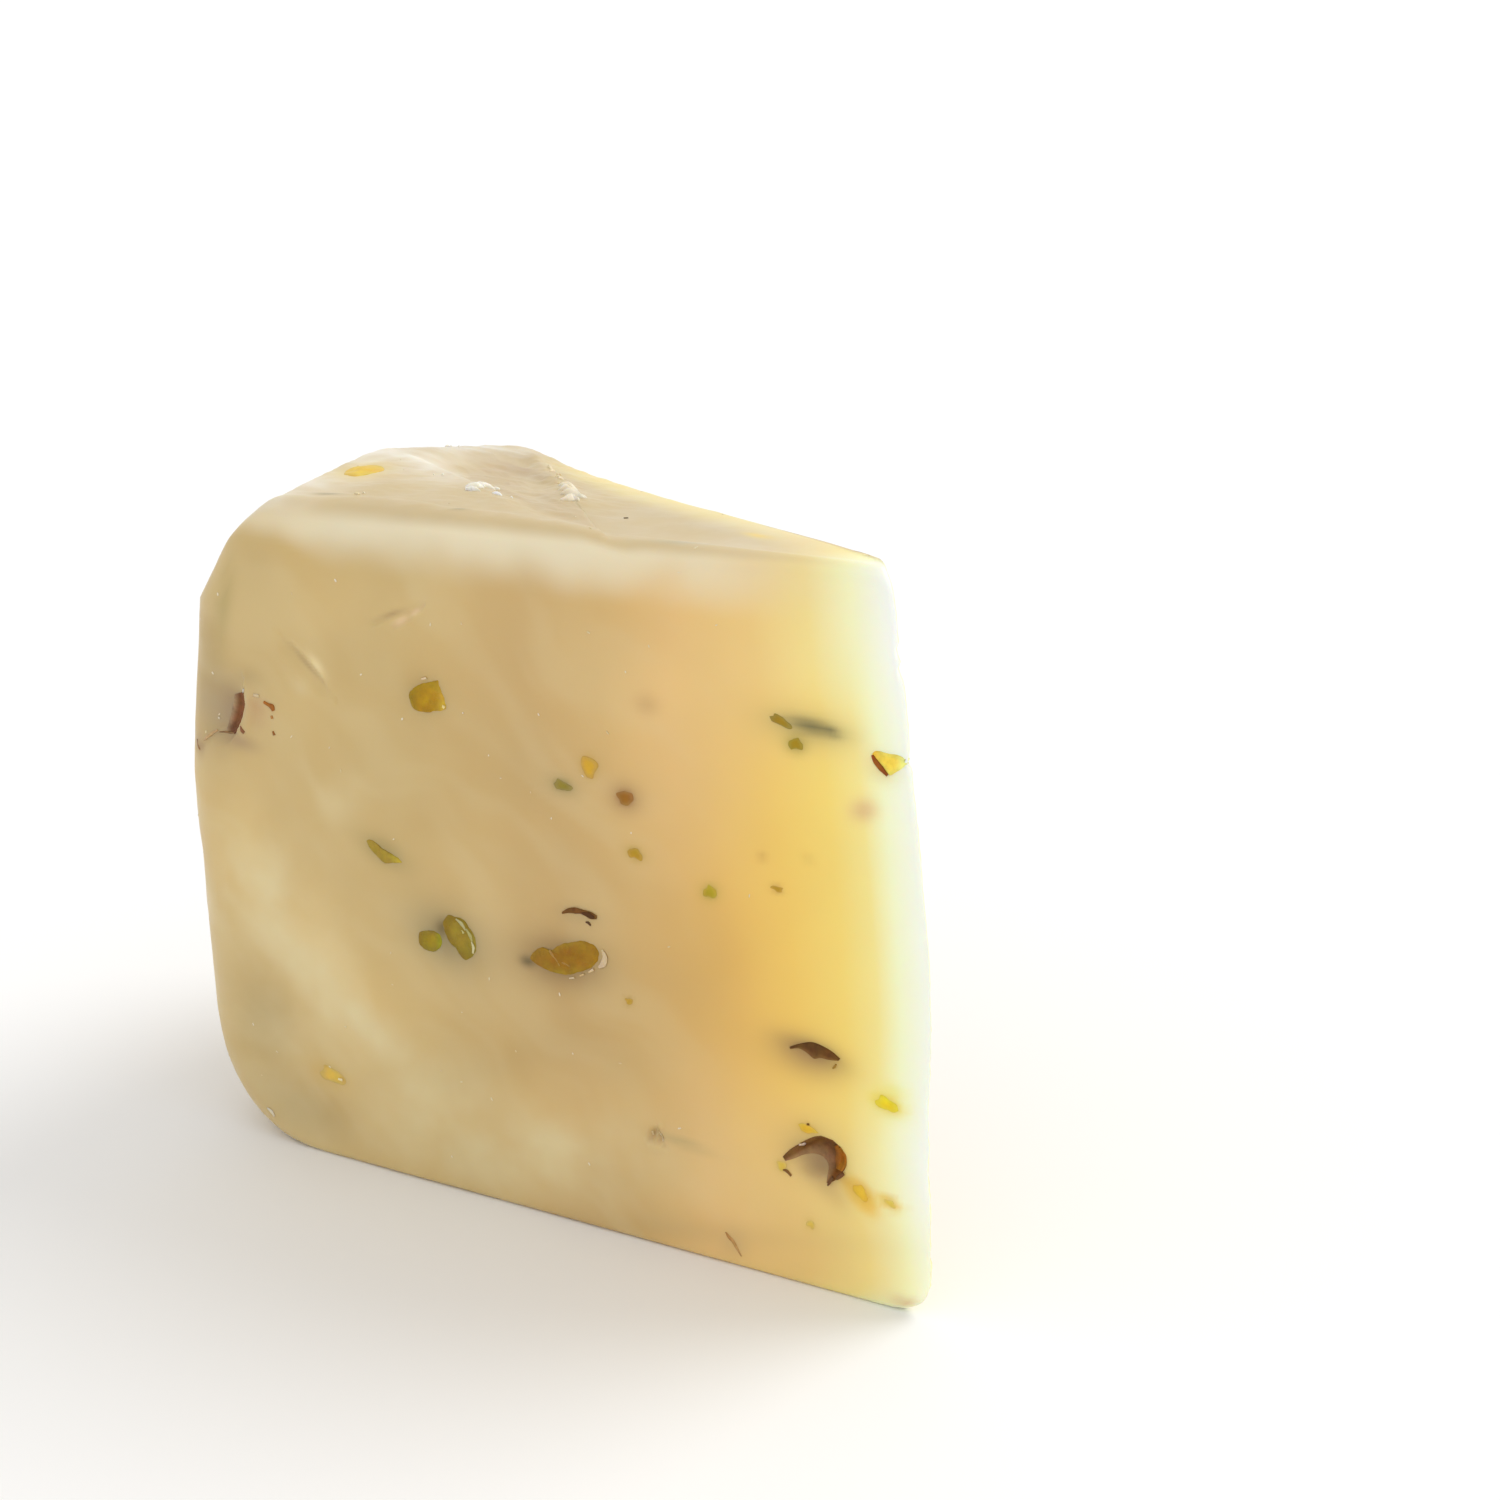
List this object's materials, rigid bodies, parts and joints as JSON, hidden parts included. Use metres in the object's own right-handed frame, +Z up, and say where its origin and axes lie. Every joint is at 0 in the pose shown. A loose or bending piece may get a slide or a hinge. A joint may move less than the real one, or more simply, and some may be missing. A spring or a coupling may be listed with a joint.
{
  "type": "primosale cheese wedge",
  "caption": "Wedge of young white primosale cheese with chopped pistachios in the paste, standing on its base, with smooth cut faces, a rounded rind and a torn top.",
  "frame": {"origin": "middle of the wedge's box, on the surface that it stands on", "axes": "+X along the front cut face from the rind to the tip, +Y from the front cut face to the back, +Z up"},
  "size_m": [0.116, 0.0668, 0.0929],
  "materials": {
    "cheese_paste": "smooth moist translucent paste, ivory to straw yellow, slightly glossy",
    "pistachio": "cut pistachio, olive to ochre with a green edge, slightly oily",
    "pistachio_skin": "thin dry brown seed skin, slightly glossy"
  },
  "bodies": {
    "root": {"paste": "cheese_paste", "pistachio_kernel": "pistachio", "pistachio_cube": "pistachio", "pistachio_long": "pistachio", "pistachio_round": "pistachio", "pistachio_sliver": "pistachio", "pistachio_sunk": "pistachio", "pistachio_tip": "pistachio", "pistachio_low_left": "pistachio", "pistachio_low_right": "pistachio", "pistachio_foot": "pistachio", "pistachio_top": "pistachio"}
  },
  "joints": []
}
